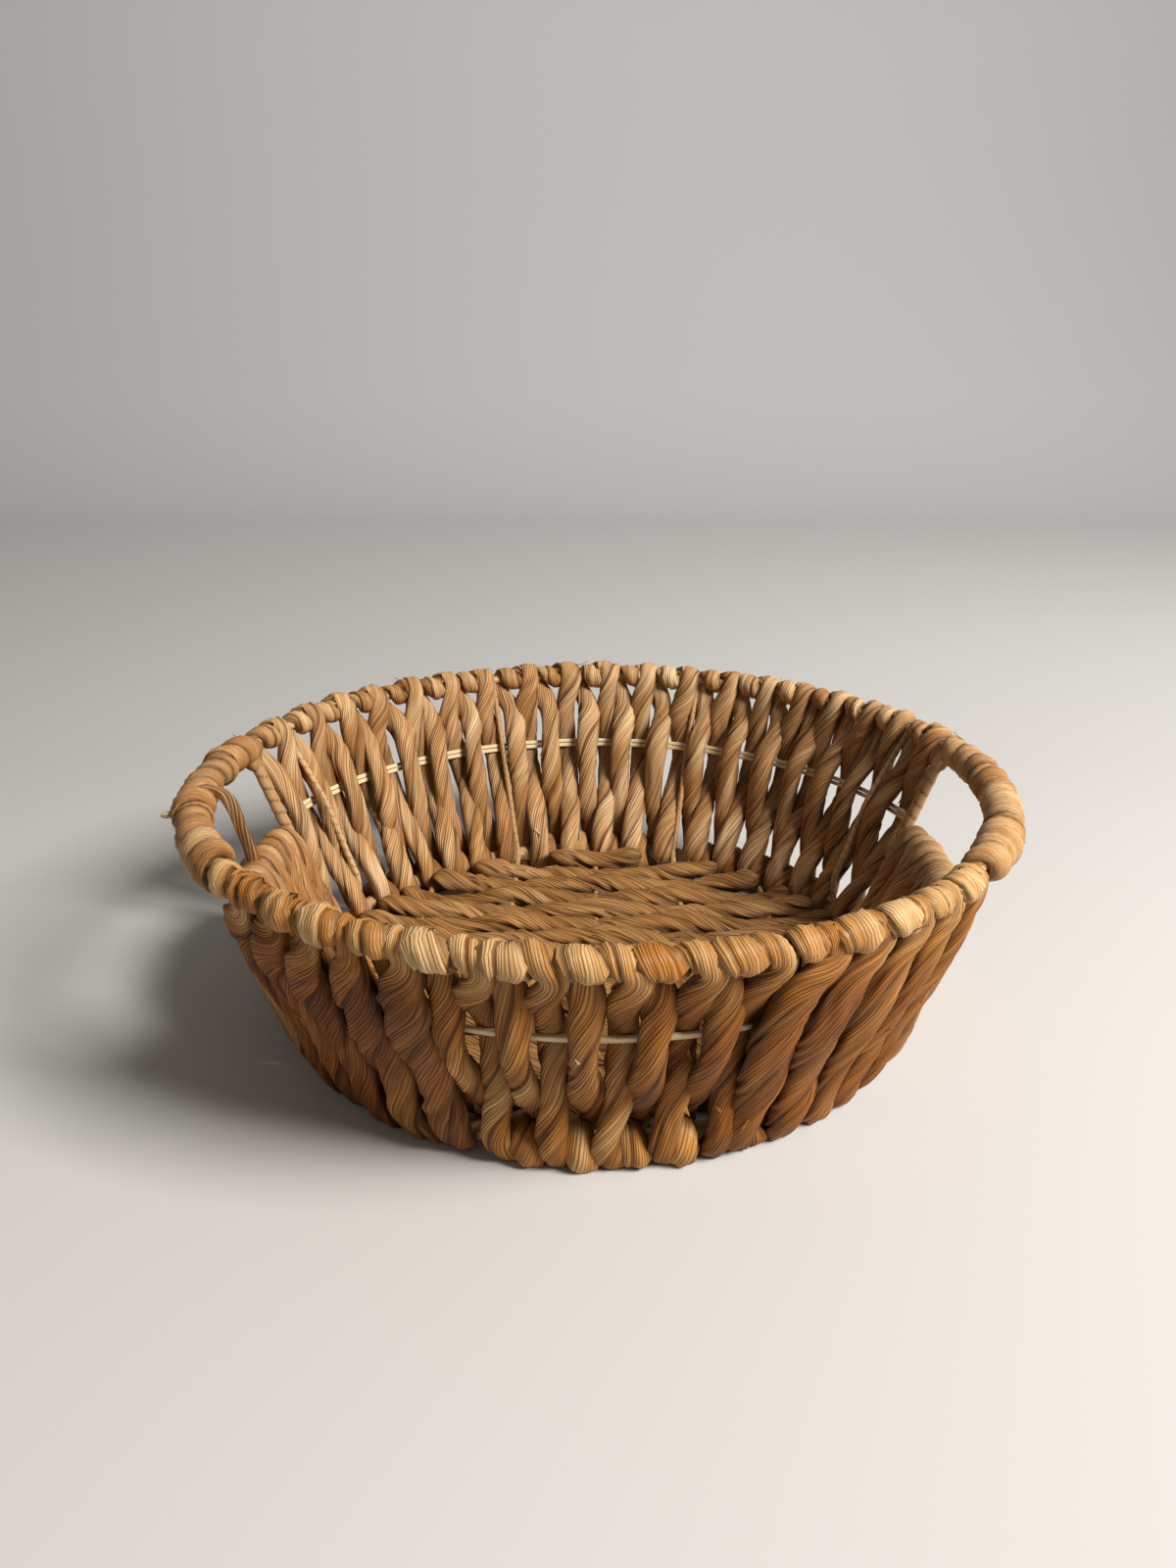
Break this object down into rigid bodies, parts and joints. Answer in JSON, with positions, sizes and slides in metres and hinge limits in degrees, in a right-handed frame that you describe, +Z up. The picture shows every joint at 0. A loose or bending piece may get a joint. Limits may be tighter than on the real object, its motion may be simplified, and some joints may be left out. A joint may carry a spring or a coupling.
{
  "type": "woven basket bowl",
  "caption": "Low round basket bowl of twisted leaf strands woven on a cane frame, with an open handle on each side and a woven floor, for bread, fruit or small things.",
  "frame": {"origin": "middle of the bowl on the table it stands on", "axes": "+Z up, +X towards the right handle, -Y towards the front wall"},
  "size_m": [0.3446, 0.345, 0.1068],
  "materials": {
    "twisted_leaf": "dry twisted leaf strand, satin, pale on the bends and brown in the creases",
    "floor_leaf": "dry twisted leaf strand, duller and browner than the wall",
    "cane": "round cane, smooth",
    "split_cane": "split cane strip, pale and smooth"
  },
  "bodies": {
    "root": {"rim_hoop": "cane", "base_hoop": "cane", "post_back_right": "cane", "post_back_left": "cane", "post_front_left": "cane", "post_front_right": "cane", "side_rib_right": "cane", "side_rib_left": "cane", "long_rib_right": "cane", "long_rib_left": "cane", "floor_cane_left": "cane", "floor_cane_centre": "cane", "floor_cane_right": "cane", "floor_strand_01": "floor_leaf", "floor_strand_02": "floor_leaf", "floor_strand_03": "floor_leaf", "floor_strand_04": "floor_leaf", "floor_strand_05": "floor_leaf", "floor_strand_06": "floor_leaf", "floor_strand_07": "floor_leaf", "floor_strand_08": "floor_leaf", "floor_strand_09": "floor_leaf", "floor_strand_10": "floor_leaf", "floor_strand_11": "floor_leaf", "floor_strand_12": "floor_leaf", "floor_strand_13": "floor_leaf", "floor_strand_14": "floor_leaf", "floor_strand_15": "floor_leaf", "floor_strand_16": "floor_leaf", "splint_back_upper": "split_cane", "splint_back_lower": "split_cane", "splint_front": "split_cane", "handle_rail_left": "cane", "handle_rail_right": "cane", "strand_back_right_corner_1": "twisted_leaf", "strand_back_right_1": "twisted_leaf", "strand_back_right_2": "twisted_leaf", "strand_back_centre_1": "twisted_leaf", "strand_back_centre_2": "twisted_leaf", "strand_back_left_1": "twisted_leaf", "strand_back_left_2": "twisted_leaf", "strand_back_left_corner_1": "twisted_leaf", "strand_front_centre_1": "twisted_leaf", "strand_front_centre_2": "twisted_leaf", "strand_front_left_1": "twisted_leaf", "strand_front_left_2": "twisted_leaf", "strand_front_right_1": "twisted_leaf", "strand_front_right_2": "twisted_leaf", "strand_low_left_1": "twisted_leaf", "strand_low_left_2": "twisted_leaf", "strand_low_right_1": "twisted_leaf", "strand_low_right_2": "twisted_leaf", "handle_winding_left": "twisted_leaf", "handle_winding_right": "twisted_leaf"}
  },
  "joints": []
}
